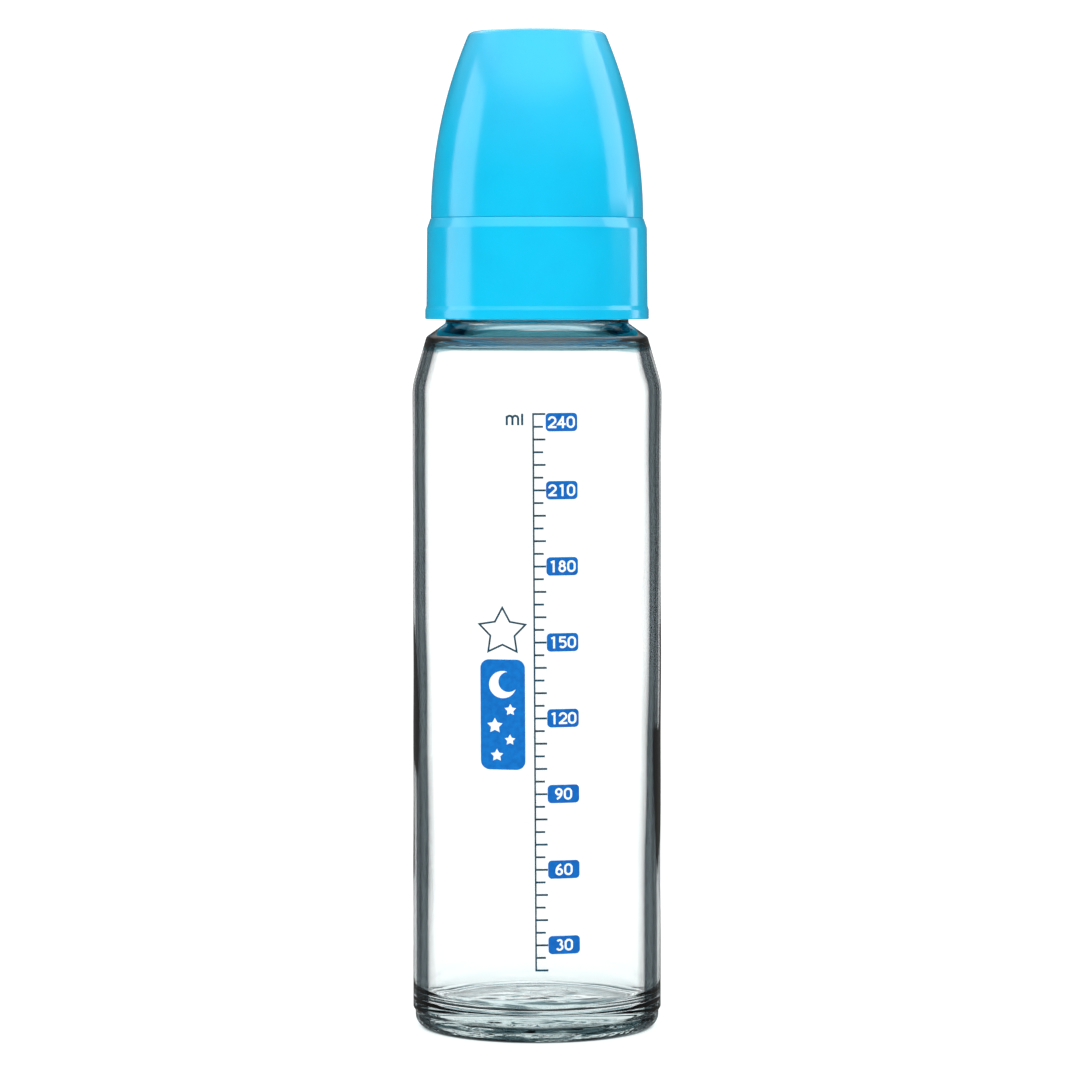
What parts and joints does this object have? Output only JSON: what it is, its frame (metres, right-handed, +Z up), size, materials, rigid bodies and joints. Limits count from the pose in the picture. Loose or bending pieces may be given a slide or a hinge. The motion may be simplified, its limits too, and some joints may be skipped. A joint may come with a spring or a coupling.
{
  "type": "baby bottle",
  "caption": "Tall round glass feeding bottle with a printed volume scale, a threaded retaining ring, a silicone teat and a push-fit dome cap.",
  "frame": {"origin": "middle of the base, on the surface that the bottle stands on", "axes": "+Z up along the bottle's axis; the printed scale faces -Y; +X to the right as the scale is read"},
  "size_m": [0.0542, 0.0543, 0.2165],
  "materials": {
    "glass": "clear polished soda-lime glass",
    "blue_plastic": "gloss moulded polypropylene",
    "silicone": "soft satin translucent silicone",
    "dark_enamel": "fired enamel",
    "blue_enamel": "fired enamel"
  },
  "bodies": {
    "bottle": {"glass_bottle": "glass", "scale_print": "dark_enamel", "badge_print": "blue_enamel", "panel_print": "blue_enamel"},
    "teat_carrier": {"teat": "silicone"},
    "ring": {"screw_ring": "blue_plastic"},
    "cap": {"protective_cap": "blue_plastic"}
  },
  "joints": [
    {"name": "teat_rise", "type": "slide", "parent": "bottle", "child": "teat_carrier", "axis": [0, 0, 1], "range_m": [0, 0.00901]},
    {"name": "ring_unscrew", "type": "hinge", "parent": "teat_carrier", "child": "ring", "pos_m": [0, 0, 0.165], "axis": [0, 0, 1], "range_deg": [0, 810]},
    {"name": "cap_pull_off", "type": "slide", "parent": "ring", "child": "cap", "axis": [0, 0, 1], "range_m": [0, 0.05]}
  ],
  "couplings": [
    {"joint": "teat_rise", "follows": "ring_unscrew", "m_per_rad": 0.00063662}
  ]
}
